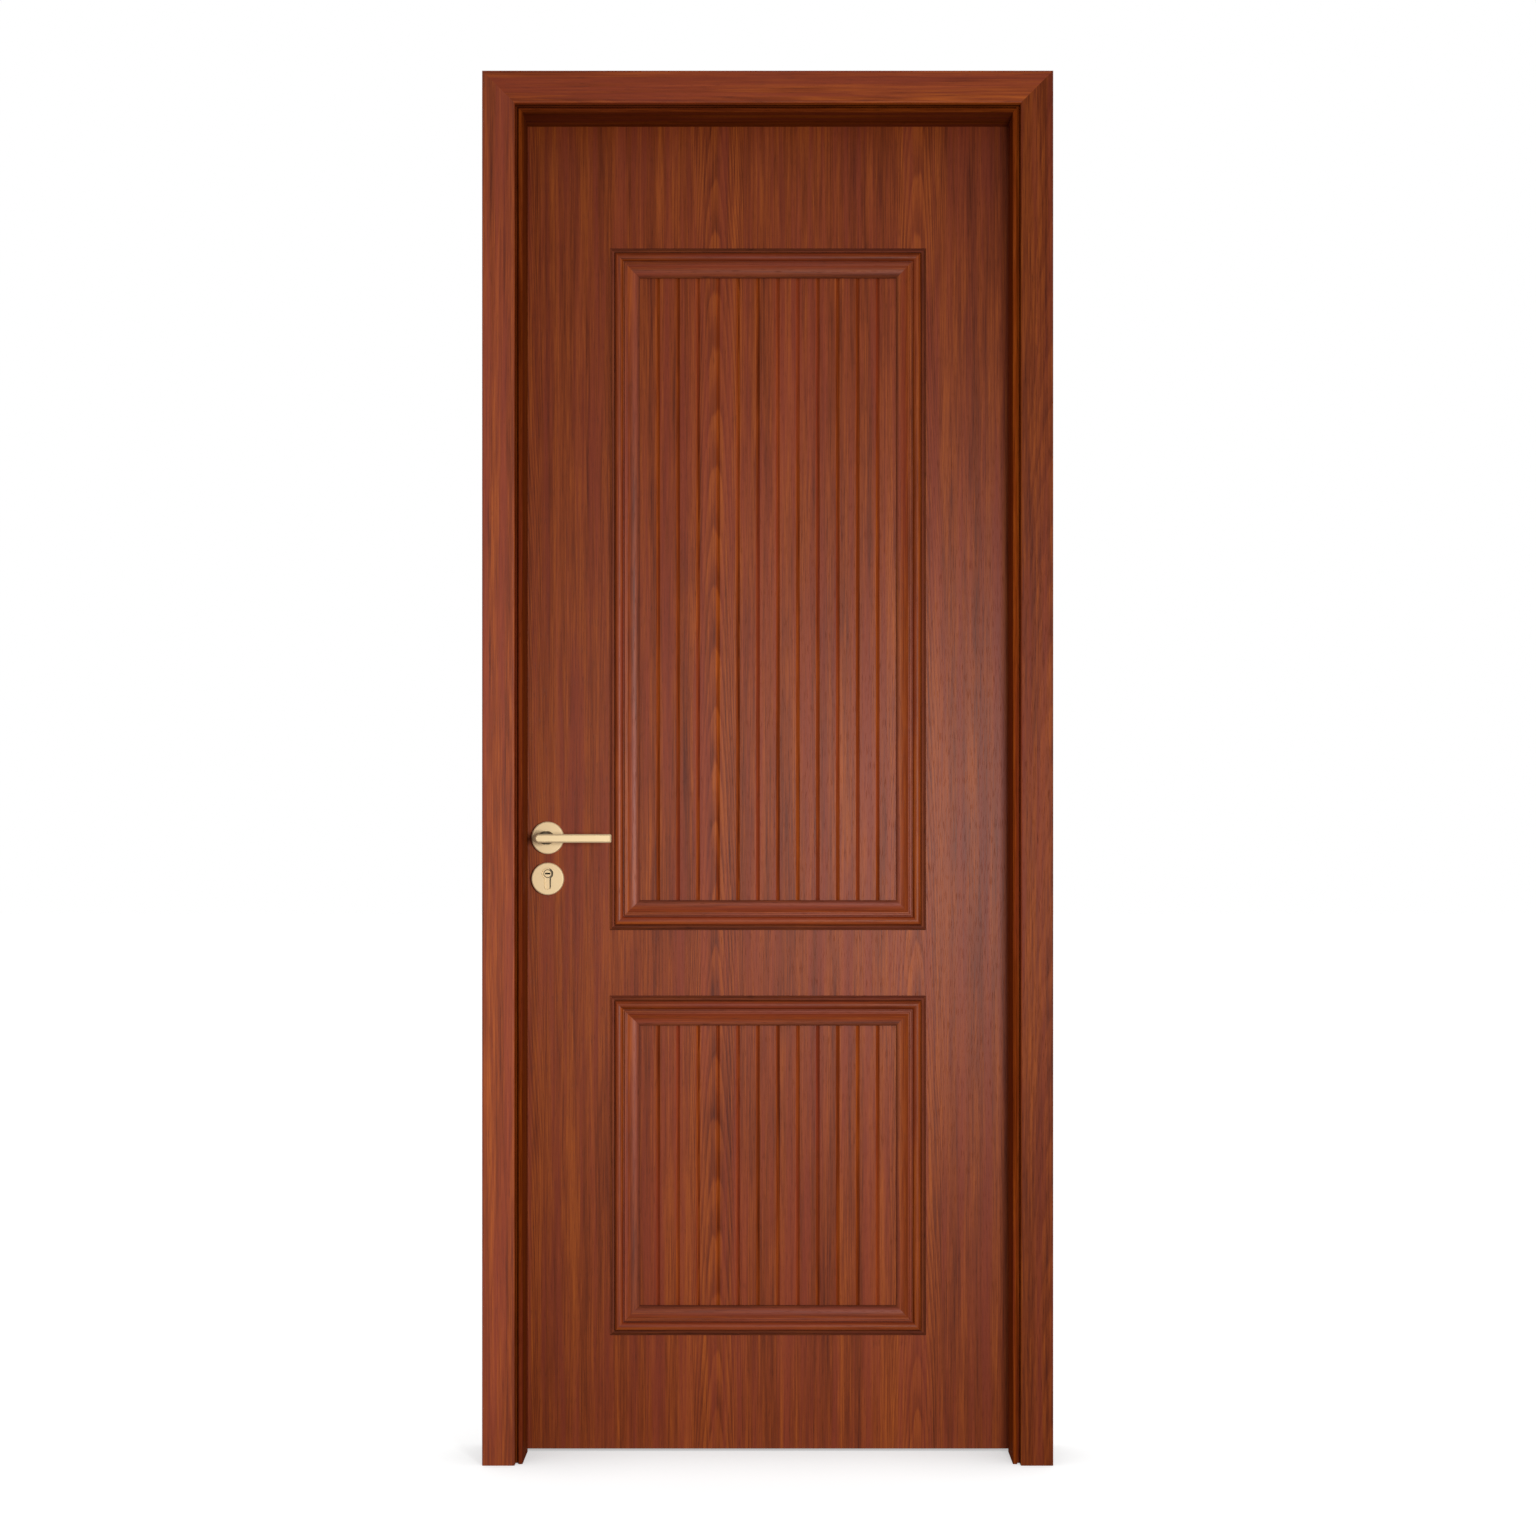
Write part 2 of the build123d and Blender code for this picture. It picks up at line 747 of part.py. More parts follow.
with BuildPart() as lock_faceplate:
    with BuildSketch(Plane.YZ.offset(-leaf_half)):
        faceplate_outline(0)
    extrude(amount=faceplate_thick)
    lock_front_holes(-leaf_half, faceplate_thick)
    screw_holes(faceplate_screw_planes)
save(lock_faceplate.part, "lock_faceplate")
save(screws(faceplate_screw_planes).part, "faceplate_screws")

with BuildPart() as cylinder_screw:
    with BuildSketch(Plane.YZ.offset(-leaf_half)):
        with Locations((leaf_mid, cylinder_screw_height)):
            Circle(cylinder_screw_radius)
    extrude(amount=backset + cylinder_tail_width / 2)
save(cylinder_screw.part, "cylinder_screw")

with BuildPart() as follower:
    with BuildSketch(front_plane(slider_back)):
        with Locations((lock_x, lever_height)):
            Circle(follower_radius)
    extrude(amount=slider_back - slider_front)
    with BuildSketch(front_plane(case_back)):
        with Locations((lock_x, lever_height)):
            Circle(follower_boss_radius)
    extrude(amount=lock_case_thick)
    with BuildSketch(front_plane(leaf_mid + follower_arm_thick / 2)):
        with Locations((lock_x, lever_height + follower_arm_radius / 2)):
            Rectangle(2 * follower_arm_half, follower_arm_radius)
        with Locations((lock_x, lever_height + follower_arm_radius)):
            Circle(follower_arm_half)
    extrude(amount=follower_arm_thick)
    with BuildSketch(front_plane(case_back)):
        with Locations((lock_x, lever_height)):
            Rectangle(spindle_hole, spindle_hole)
    extrude(amount=lock_case_thick, mode=Mode.SUBTRACT)
save(follower.part, "follower")

with BuildPart() as latch_bolt:
    nose = -leaf_half - latch_travel
    heel = nose + latch_length
    hook_x = lock_x + follower_arm_half + latch_play
    with BuildSketch(Plane.XY.offset(latch_base)):
        Polygon(
            (nose, slider_back),
            (nose, slider_back - latch_nose_flat),
            (-leaf_half - lock_fit, slider_front),
            (heel, slider_front),
            (heel, slider_back),
            align=None,
        )
    extrude(amount=latch_height)
    with BuildSketch(front_plane(leaf_mid + latch_tail_thick / 2)):
        strip(heel, hook_x + latch_hook_thick, latch_tail_base, latch_tail_base + latch_tail_high)
        strip(hook_x, hook_x + latch_hook_thick, latch_hook_base, latch_tail_base)
    extrude(amount=latch_tail_thick)
save(latch_bolt.part, "latch_bolt")

with BuildPart() as deadbolt:
    with BuildSketch(Plane.XY.offset(bolt_base)):
        strip(-leaf_half, bolt_length - leaf_half, slider_front, slider_back)
    extrude(amount=bolt_height)
    chamfer(deadbolt.edges().group_by(Axis.X)[0], bolt_arris)
save(deadbolt.part, "deadbolt")

# key cylinder: a profiled body, a keyed plug outside, a thumb turn inside and the cam between them
front_reach = rose_thick - cylinder_recess
back_reach = rose_thick + cylinder_proud
cam_front = leaf_mid - cam_thick / 2
cam_back = leaf_mid + cam_thick / 2

with BuildPart() as cylinder_body:
    with BuildSketch(front_plane(leaf_thick + back_reach)):
        cylinder_outline(0)
    extrude(amount=leaf_thick + back_reach + front_reach)
    with BuildSketch(front_plane(leaf_thick + back_reach)):
        with Locations((lock_x, cylinder_height)):
            Circle(plug_radius + running_clearance)
    extrude(amount=leaf_thick + back_reach + front_reach, mode=Mode.SUBTRACT)
    with BuildSketch(front_plane(cam_back + cam_side_gap)):
        strip(
            lock_x - cam_radius,
            lock_x + cam_radius,
            cylinder_height - cam_radius - cam_bridge_gap,
            cylinder_height + cam_radius,
        )
    extrude(amount=cam_thick + 2 * cam_side_gap, mode=Mode.SUBTRACT)
    with BuildSketch(Plane.YZ.offset(lock_x - cylinder_tail_width)):
        with Locations((leaf_mid, cylinder_screw_height)):
            Circle(cylinder_screw_radius + screw_clearance)
    extrude(amount=2 * cylinder_tail_width, mode=Mode.SUBTRACT)
save(cylinder_body.part, "cylinder_body")

with BuildPart() as key_plug:
    with BuildSketch(front_plane(cam_front)):
        with Locations((lock_x, cylinder_height)):
            Circle(plug_radius)
    extrude(amount=cam_front + front_reach)
    with BuildSketch(front_plane(-front_reach)):
        with Locations((lock_x, cylinder_height)):
            Rectangle(keyway_width, keyway_height)
    extrude(amount=-keyway_depth, mode=Mode.SUBTRACT)
save(key_plug.part, "key_plug")

with BuildPart() as cam:
    with BuildSketch(front_plane(cam_back)):
        with Locations((lock_x, cylinder_height)):
            Circle(cam_hub_radius)
        lobe = cam_radius - cam_lobe_half
        with Locations((lock_x, cylinder_height - lobe / 2)):
            SlotCenterToCenter(lobe, 2 * cam_lobe_half, rotation=90)
    extrude(amount=cam_thick)
save(cam.part, "cam")

with BuildPart() as thumbturn:
    turn_foot = leaf_thick + back_reach + turn_gap
    with BuildSketch(front_plane(turn_foot)):
        with Locations((lock_x, cylinder_height)):
            Circle(plug_radius)
    extrude(amount=turn_foot - cam_back)
    with BuildSketch(front_plane(turn_foot)):
        with Locations((lock_x, cylinder_height)):
            SlotOverall(turn_width, turn_thick, rotation=90)
    extrude(amount=-turn_length)
    fillet(thumbturn.edges().group_by(Axis.Y)[-1], turn_edge)
save(thumbturn.part, "thumbturn")


# roses and levers
def rose(height, draw_hole):
    with BuildPart() as disc:
        with BuildSketch(front_plane(0)):
            with Locations((lock_x, height)):
                Circle(rose_radius)
        extrude(amount=rose_thick)
        fillet(disc.edges().group_by(Axis.Y)[0], rose_edge)
        with BuildSketch(front_plane(0)):
            draw_hole()
        extrude(amount=rose_thick, mode=Mode.SUBTRACT)
        with BuildSketch(front_plane(0)):
            rose_bolt_circles(height, rose_bolt_radius + running_clearance)
        extrude(amount=rose_bolt_bite, mode=Mode.SUBTRACT)
    return disc


def neck_hole():
    with Locations((lock_x, lever_height)):
        Circle(neck_radius + neck_clearance)


def key_hole():
    cylinder_outline(cylinder_fit)


leaf_middle = front_plane(leaf_mid)
handle_rose = rose(lever_height, neck_hole)
save(handle_rose.part, "front_handle_rose")
save(mirror(handle_rose.part, about=leaf_middle), "back_handle_rose")
key_escutcheon = rose(escutcheon_height, key_hole)
save(key_escutcheon.part, "front_key_escutcheon")
save(mirror(key_escutcheon.part, about=leaf_middle), "back_key_escutcheon")

with BuildPart() as rose_bolts:
    reach = rose_bolt_bite - lock_fit
    with BuildSketch(front_plane(leaf_thick + reach)):
        for height in (lever_height, escutcheon_height):
            rose_bolt_circles(height, rose_bolt_radius)
    extrude(amount=leaf_thick + 2 * reach)
save(rose_bolts.part, "rose_bolts")

with BuildPart() as lever_neck:
    with BuildSketch(front_plane(-neck_stand_off)):
        with Locations((lock_x, lever_height)):
            Circle(neck_radius)
    extrude(amount=lever_projection - lever_bar_deep / 2 - neck_stand_off)
    fillet(lever_neck.edges().group_by(Axis.Y)[0], neck_shoulder)

with BuildPart() as front_lever:
    bar_back = lever_bar_deep - lever_projection
    bar_height = lever_height - lever_bar_drop
    heel_x = lock_x - lever_bar_heel + lever_bar_thick / 2
    tip_x = lock_x + lever_bar_reach
    with BuildSketch(front_plane(bar_back)) as bar:
        strip(heel_x, tip_x, bar_height - lever_bar_thick / 2, bar_height + lever_bar_thick / 2)
        fillet(bar.vertices().group_by(Axis.X)[-1], lever_tip_corner)
        with Locations((heel_x, bar_height)):
            Circle(lever_bar_thick / 2)
    extrude(amount=lever_bar_deep)
    chamfer(front_lever.edges().group_by(Axis.Y)[0], lever_facet)
    fillet(front_lever.edges().group_by(Axis.Y)[-1], lever_arris)
    add(lever_neck.part)
    with BuildSketch(front_plane(-neck_stand_off)):
        with Locations((lock_x, lever_height)):
            Rectangle(spindle_hole, spindle_hole)
    extrude(amount=spindle_bite + lock_fit, mode=Mode.SUBTRACT)
save(front_lever.part, "front_lever")
save(mirror(front_lever.part, about=leaf_middle), "back_lever")

with BuildPart() as spindle:
    reach = neck_stand_off + spindle_bite
    with BuildSketch(front_plane(leaf_thick + reach)):
        with Locations((lock_x, lever_height)):
            Rectangle(spindle_size, spindle_size)
    extrude(amount=leaf_thick + 2 * reach)
save(spindle.part, "spindle")
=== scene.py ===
import math

import bpy
import numpy as np
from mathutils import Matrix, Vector


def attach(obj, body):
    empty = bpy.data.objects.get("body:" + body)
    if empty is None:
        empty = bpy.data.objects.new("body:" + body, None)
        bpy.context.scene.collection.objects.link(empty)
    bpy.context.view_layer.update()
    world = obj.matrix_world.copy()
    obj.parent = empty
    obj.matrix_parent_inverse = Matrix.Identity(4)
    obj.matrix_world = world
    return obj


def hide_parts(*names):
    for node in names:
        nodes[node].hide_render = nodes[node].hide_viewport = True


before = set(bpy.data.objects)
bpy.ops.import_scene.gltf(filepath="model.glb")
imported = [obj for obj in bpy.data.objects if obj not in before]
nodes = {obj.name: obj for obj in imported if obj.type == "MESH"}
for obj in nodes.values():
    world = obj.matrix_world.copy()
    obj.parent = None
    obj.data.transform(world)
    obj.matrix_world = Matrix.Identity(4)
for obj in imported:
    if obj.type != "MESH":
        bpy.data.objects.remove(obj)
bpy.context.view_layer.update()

print("packed door loaded:", len(nodes), "nodes")


def srgb(red, green, blue):
    # display values from 0 to 255 as a linear colour
    def linear(value):
        value = value / 255
        return value / 12.92 if value <= 0.04045 else ((value + 0.055) / 1.055) ** 2.4
    return (linear(red), linear(green), linear(blue), 1.0)


def addNode(tree, kind, inputs=None, **props):
    # a shader node, with each input either a plain value or another node's socket
    made = tree.nodes.new("ShaderNode" + kind)
    for key, value in props.items():
        setattr(made, key, value)
    for key, value in (inputs or {}).items():
        if isinstance(value, bpy.types.NodeSocket):
            tree.links.new(value, made.inputs[key])
        else:
            made.inputs[key].default_value = value
    return made


def calc(tree, operation, first, second=0.0, third=0.0, clamp=False):
    return addNode(tree, "Math", {0: first, 1: second, 2: third},
                   operation=operation, use_clamp=clamp).outputs[0]


def product(tree, first, *others):
    for other in others:
        first = calc(tree, "MULTIPLY", first, other)
    return first


def within(tree, value, low, high):
    # 1 between low and high, otherwise 0
    return product(tree, calc(tree, "GREATER_THAN", value, low), calc(tree, "LESS_THAN", value, high))


def sway(tree, value, weight, base):
    # base, moved by weight times how far value is from one half
    return calc(tree, "MULTIPLY_ADD", calc(tree, "SUBTRACT", value, 0.5), weight, base)


def spread(tree, value, low, high, outLow=0.0, outHigh=1.0):
    # value between low and high, spread smoothly over outLow to outHigh
    return addNode(tree, "MapRange", {0: value, 1: low, 2: high, 3: outLow, 4: outHigh},
                   interpolation_type="SMOOTHSTEP").outputs[0]


def noise(tree, place, across, along, detail, roughness, distortion=0.0):
    # across and along are in cycles per metre
    stretched = addNode(tree, "VectorMath", {0: place, 1: (across, across, along)},
                        operation="MULTIPLY").outputs[0]
    return addNode(tree, "TexNoise", {
        "Vector": stretched, "Scale": 1.0, "Detail": detail,
        "Roughness": roughness, "Distortion": distortion}).outputs[0]


def mix(tree, share, first, second):
    return addNode(tree, "Mix", {0: share, 6: first, 7: second}, data_type="RGBA").outputs[2]


def scaled(tree, colour, factor):
    return addNode(tree, "VectorMath", {0: colour, "Scale": factor}, operation="SCALE").outputs[0]


def newMaterial(name):
    material = bpy.data.materials.new(name)
    material.use_nodes = True
    tree = material.node_tree
    tree.nodes.clear()
    shader = addNode(tree, "BsdfPrincipled")
    addNode(tree, "OutputMaterial", {"Surface": shader.outputs[0]})
    return material, tree, shader


def dress(tree, shader, colour, rough, height, depth):
    # depth is how many metres a height of 1 stands for in the bump
    bump = addNode(tree, "Bump", {"Strength": 1.0, "Distance": depth, "Height": height})
    tree.links.new(colour, shader.inputs["Base Color"])
    tree.links.new(rough, shader.inputs["Roughness"])
    tree.links.new(bump.outputs[0], shader.inputs["Normal"])


def paint(names, material):
    for name in names:
        data = nodes[name].data
        data.materials.clear()
        data.materials.append(material)


# places of the wood's figure: (across, depth, along) in metres, so that it runs along any piece

def uprightPlace(tree):
    return addNode(tree, "TexCoord").outputs["Object"]


def levelPlace(tree):
    # grain along X: height and width change places
    parts = addNode(tree, "SeparateXYZ", {0: uprightPlace(tree)}).outputs
    return addNode(tree, "CombineXYZ", {0: parts[2], 1: parts[1], 2: parts[0]}).outputs[0]


def stickPlace(tree):
    # the piece's own map: u goes round its section and v along it
    place = addNode(tree, "UVMap", uv_map="grain").outputs[0]
    parts = addNode(tree, "SeparateXYZ", {0: place}).outputs
    return addNode(tree, "CombineXYZ", {0: parts[0], 1: 0.0, 2: parts[1]}).outputs[0]


filmLook = {
    "dark": srgb(78, 24, 2),
    "middle": srgb(114, 46, 8),
    "light": srgb(144, 68, 16),
    "rampEnds": (0.22, 0.78),
    "cool": srgb(118, 45, 26),        # the purplish streaks
    "coolShare": 0.6, "coolRange": (0.42, 0.66),
    # each noise: cycles per metre across and along, detail, roughness, distortion
    "coolNoise": (55.0, 1.6, 3.0, 0.6, 0.2),
    "bandNoise": (8.0, 0.5, 3.0, 0.55, 0.3), "bandWeight": 0.40,
    "streakNoise": (75.0, 1.7, 4.0, 0.6, 0.4), "streakWeight": 0.85,
    "fibreNoise": (420.0, 9.0, 3.0, 0.6), "fibreWeight": 0.85, "fibreRough": 0.10,
    "poreNoise": (1300.0, 45.0, 1.0, 0.5), "poreRange": (0.60, 0.70),
    "poreDepth": 0.34, "poreRough": 0.08,
    "archWidth": 0.31, "archBend": 420.0, "archPerMetre": 11.0,
    "archShift": 0.08, "archWeight": 0.20,
    "archReach": (0.062, 0.022),      # how far from its middle an arch fades in
    "wanderNoise": (14.0, 1.6, 2.0, 0.5), "wander": 0.03,
    "rippleNoise": (60.0, 9.0, 2.0, 0.5), "ripple": 0.05,
    "ringRise": (0.0, 0.75), "ringFall": (1.0, 0.86), "ringMean": 0.45,
    "tone": 1.21,
    "middleTone": 0.0,                # painted light: how much lighter the film is drawn between the stiles
    "middleEdge": (0.235, 0.250),     # where that lighter part ends, from the middle
    "boards": False,                  # whether the film has painted highlight and painted shade along the joints between the boards
    "recessShade": 0.0, "recessShadeRough": 0.4,  # painted shade: how much darker a moulding's recesses are drawn, and how much rougher they are
    "roughness": 0.45,
    "specular": 0.20,
    "bump": 0.00006,
}

boardJoints = {
    "pitch": 0.03075,
    "halfWidth": 0.1960,              # the boards end here, under the mouldings
    "lower": (0.225, 0.656), "upper": (0.849, 1.807),   # and between these heights
    # the painted highlight on one arris, and the painted shade beside it
    "litArris": 0.22, "litArrisFrom": (-0.0040, -0.0032), "litArrisTo": (-0.0012, -0.0004),
    "shadedSide": 0.06, "shadedSideFrom": (-0.0006, 0.0002), "shadedSideTo": (0.0020, 0.0030),
}


def jointLightAndShade(tree, aside, height):
    # painted highlight on one arris of each joint between the boards, and painted shade on the other
    # side.
    # off is the signed distance from the nearest joint; the joints lie half a pitch off the middle
    look = boardJoints
    cell = calc(tree, "FRACT", calc(tree, "DIVIDE", aside, look["pitch"]))
    off = product(tree, calc(tree, "SUBTRACT", cell, 0.5), look["pitch"])
    litArris = product(tree, spread(tree, off, *look["litArrisFrom"]),
                   spread(tree, off, *look["litArrisTo"], 1.0, 0.0))
    shadedSide = product(tree, spread(tree, off, *look["shadedSideFrom"]),
                     spread(tree, off, *look["shadedSideTo"], 1.0, 0.0))
    change = calc(tree, "SUBTRACT", product(tree, litArris, look["litArris"]),
                  product(tree, shadedSide, look["shadedSide"]))
    inPanels = calc(tree, "ADD", within(tree, height, *look["lower"]),
                    within(tree, height, *look["upper"]))
    inWidth = calc(tree, "LESS_THAN", calc(tree, "ABSOLUTE", aside), look["halfWidth"])
    return product(tree, change, product(tree, inWidth, inPanels))


def archFigure(tree, look, place, across, along):
    # rings that rise slowly and fall fast, at even steps of a phase: the height plus a bend times
    # the squared distance from the nearest arch's middle
    wander = noise(tree, place, *look["wanderNoise"])
    ripple = noise(tree, place, *look["rippleNoise"])
    shifted = calc(tree, "ADD", across, look["archShift"])
    off = calc(tree, "PINGPONG", shifted, look["archWidth"] / 2)
    off = calc(tree, "MULTIPLY_ADD", wander, look["wander"],
               calc(tree, "SUBTRACT", off, look["wander"] / 2))
    bent = product(tree, product(tree, off, off), look["archBend"])
    phase = calc(tree, "ADD", calc(tree, "ADD", along, bent), product(tree, ripple, look["ripple"]))
    ring = calc(tree, "FRACT", product(tree, phase, look["archPerMetre"]))
    ring = product(tree, spread(tree, ring, *look["ringRise"]), spread(tree, ring, *look["ringFall"]))
    return product(tree, calc(tree, "SUBTRACT", ring, look["ringMean"]),
                   spread(tree, off, *look["archReach"]))


def filmMaterial(name, placeOf, **changes):
    look = dict(filmLook, **changes)
    material, tree, shader = newMaterial(name)
    place = placeOf(tree)
    parts = addNode(tree, "SeparateXYZ", {0: place}).outputs
    across = calc(tree, "ADD", parts[0], parts[1])

    fibre = noise(tree, place, *look["fibreNoise"])
    value = sway(tree, noise(tree, place, *look["bandNoise"]), look["bandWeight"], 0.5)
    value = sway(tree, noise(tree, place, *look["streakNoise"]), look["streakWeight"], value)
    value = sway(tree, fibre, look["fibreWeight"], value)
    arch = archFigure(tree, look, place, across, parts[2])
    value = calc(tree, "MULTIPLY_ADD", arch, look["archWeight"], value, clamp=True)

    ramp = addNode(tree, "ValToRGB", {0: value})
    stops = ramp.color_ramp.elements
    stops[0].position, stops[1].position = look["rampEnds"]
    stops[0].color, stops[1].color = look["dark"], look["light"]
    stops.new(0.5).color = look["middle"]
    cool = spread(tree, noise(tree, place, *look["coolNoise"]), *look["coolRange"])
    colour = mix(tree, product(tree, cool, look["coolShare"]), ramp.outputs[0], look["cool"])

    pores = spread(tree, noise(tree, place, *look["poreNoise"]), *look["poreRange"])
    # painted light: the film is drawn lighter between the stiles than on them
    tone = spread(tree, calc(tree, "ABSOLUTE", parts[0]), *look["middleEdge"],
                  look["tone"] + look["middleTone"], look["tone"])
    rough = sway(tree, fibre, look["fibreRough"], look["roughness"])
    # painted shade in a moulding's recesses, read from an attribute of the mesh
    if look["recessShade"]:
        recessShade = addNode(tree, "Attribute", attribute_name="recessShade").outputs["Fac"]
        tone = product(tree, tone, calc(tree, "MULTIPLY_ADD", recessShade, -look["recessShade"], 1.0))
        rough = calc(tree, "MULTIPLY_ADD", recessShade, look["recessShadeRough"], rough)
    if look["boards"]:
        # painted highlight and painted shade along the joints between the boards
        tone = calc(tree, "ADD", tone, jointLightAndShade(tree, parts[0], parts[2]))
    tone = calc(tree, "MULTIPLY_ADD", pores, -look["poreDepth"], tone)
    rough = calc(tree, "MULTIPLY_ADD", pores, look["poreRough"], rough)

    dress(tree, shader, scaled(tree, colour, tone), rough,
          calc(tree, "SUBTRACT", fibre, pores), look["bump"])
    shader.inputs["Specular IOR Level"].default_value = look["specular"]
    return material


leafFilm = filmMaterial("leafFilm", uprightPlace, middleTone=0.05, boards=True)
railFilm = filmMaterial("railFilm", levelPlace)

# the photograph's light makes the same film paler on one side than on the other, and darker inside
# the lining, so these tones differ
jambLook = {"archWeight": 0.06, "specular": 0.02, "roughness": 0.8}
leftJambFilm = filmMaterial("leftJambFilm", uprightPlace, tone=0.88, **jambLook)
rightJambFilm = filmMaterial("rightJambFilm", uprightPlace, tone=1.05, **jambLook)
headJambFilm = filmMaterial("headJambFilm", levelPlace, tone=0.70, **jambLook)

casingLook = {"archWeight": 0.12, "archBend": 150.0, "archWidth": 0.2, "roughness": 0.52}
leftCasingFilm = filmMaterial("leftCasingFilm", uprightPlace,
                              tone=1.6, archShift=0.03, specular=0.34, **casingLook)
rightCasingFilm = filmMaterial("rightCasingFilm", uprightPlace,
                               tone=0.95, archShift=0.06, specular=0.12, **casingLook)
headCasingFilm = filmMaterial("headCasingFilm", levelPlace, tone=1.50, specular=0.22, **casingLook)

stickLook = {"archWeight": 0.05, "tone": 1.24, "recessShade": 0.56}
# painted light: the left sticks are drawn paler than the others, with less painted shade in their
# recesses
leftStickLook = dict(stickLook, tone=1.50, recessShade=0.44, specular=0.32)
stickFilm = filmMaterial("stickFilm", stickPlace, **stickLook)
leftStickFilm = filmMaterial("leftStickFilm", stickPlace, **leftStickLook)

bareWood = {
    "dark": srgb(170, 126, 80), "middle": srgb(204, 164, 114), "light": srgb(226, 192, 146),
    "cool": srgb(196, 154, 108), "coolShare": 0.3,
    "poreDepth": 0.15, "tone": 1.0, "roughness": 0.7,
}
coreWood = filmMaterial("coreWood", uprightPlace, **bareWood)

paint(["front_skin", "back_skin", "lock_stile", "hinge_stile"], leafFilm)
paint(["top_rail", "middle_rail", "bottom_rail"], railFilm)
paint(["upper_core", "lower_core"], coreWood)
paint(["lock_jamb"], leftJambFilm)
paint(["hinge_jamb"], rightJambFilm)
paint(["head_jamb"], headJambFilm)
paint(["front_casing_lock_side", "back_casing_lock_side"], leftCasingFilm)
paint(["front_casing_hinge_side", "back_casing_hinge_side"], rightCasingFilm)
paint(["front_casing_head", "back_casing_head"], headCasingFilm)
print("wood film on the leaf, lining and casings")


moulding = {
    "width": 0.046,
    "panelHalf": 0.1975,
    "lower": (0.179, 0.702),          # outer edges, from the floor
    "upper": (0.803, 1.853),
    "frontFace": 0.0, "backFace": 0.042,
    # the section from the outer edge to the panel's edge, as distance and height in millimetres
    "fillet": [(0, 0), (0, 1.2), (3.5, 1.2), (3.5, 3.5), (6.5, 3.5)],
    "bead": [(8, 2.5), (14.25, 11), (20.5, 5.5)], "beadPoints": 40,
    "ridge": [(23, 5.5), (23, 10), (25.5, 10), (25.5, 8)],
    "hollow": [(27.5, 8), (33.4, 4.5), (44, 3)], "hollowPoints": 30,
    "panelEdge": [(46, 3), (46, 0)],
    "pointsApart": 0.0003,
    "ease": 2,                        # how many times each point is averaged with its neighbours
    "smoothAngle": math.radians(35),
    "grainShift": 0.37,               # from one stick's grain to the next one's
    # painted shade: how dark the film is drawn at each distance from the outer edge, in the recesses
    # where shade falls
    "recessShadeAt": (0, 0.0030, 0.0045, 0.0060, 0.0078, 0.0098, 0.0200,
                0.0212, 0.0224, 0.0231, 0.0400, 0.0445, 0.046),
    "recessShadeShare": (1.0, 0.95, 0.55, 0.65, 0.75, 0.0, 0.0, 0.25, 0.25, 0.0, 0.0, 0.80, 0.90),
}


def arc(start, middle, end, count):
    # the circle through three points, sampled evenly from the first to the last by its angle
    (ax, ay), (bx, by), (cx, cy) = start, middle, end
    double = 2 * (ax * (by - cy) + bx * (cy - ay) + cx * (ay - by))
    sa, sb, sc = ax * ax + ay * ay, bx * bx + by * by, cx * cx + cy * cy
    ox = (sa * (by - cy) + sb * (cy - ay) + sc * (ay - by)) / double
    oy = (sa * (cx - bx) + sb * (ax - cx) + sc * (bx - ax)) / double
    first, last = math.atan2(ay - oy, ax - ox), math.atan2(cy - oy, cx - ox)
    through = math.atan2(by - oy, bx - ox)
    if (through - first) * (last - through) < 0:
        last += math.tau if last < first else -math.tau
    angle = np.linspace(first, last, count)
    radius = math.hypot(ax - ox, ay - oy)
    return np.stack([ox + radius * np.cos(angle), oy + radius * np.sin(angle)], axis=1)


def mouldingProfile():
    # the section's line in metres, resampled at even steps, and then every point averaged with its
    # neighbours to ease the arrises. Also how far round the section each point lies
    line = np.vstack([
        moulding["fillet"],
        arc(*moulding["bead"], moulding["beadPoints"]),
        moulding["ridge"],
        arc(*moulding["hollow"], moulding["hollowPoints"]),
        moulding["panelEdge"],
    ]) / 1000
    steps = np.concatenate([[0], np.cumsum(np.hypot(*np.diff(line, axis=0).T))])
    even = np.linspace(0, steps[-1], int(steps[-1] / moulding["pointsApart"]) + 1)
    points = np.stack([np.interp(even, steps, values) for values in line.T], axis=1)
    for _ in range(moulding["ease"]):
        points[1:-1] = points[:-2] / 4 + points[1:-1] / 2 + points[2:] / 4
    points[:, 1] = np.clip(points[:, 1], 0, None)
    return points, even


def meshPiece(name, vertices, faces, uv, recessShade, material):
    mesh = bpy.data.meshes.new(name)
    mesh.from_pydata(vertices.tolist(), [], faces)
    layer = mesh.uv_layers.new(name="grain")
    corner = np.empty(len(mesh.loops), dtype=np.int32)
    mesh.loops.foreach_get("vertex_index", corner)
    layer.data.foreach_set("uv", uv[corner].astype(np.float32).ravel())
    # each point's share of the painted shade in the recesses
    shares = mesh.attributes.new("recessShade", "FLOAT", "POINT")
    shares.data.foreach_set("value", recessShade.astype(np.float32))
    mesh.materials.append(material)
    mesh.shade_smooth()
    mesh.set_sharp_from_angle(angle=moulding["smoothAngle"])
    piece = bpy.data.objects.new(name, mesh)
    bpy.context.scene.collection.objects.link(piece)
    return piece


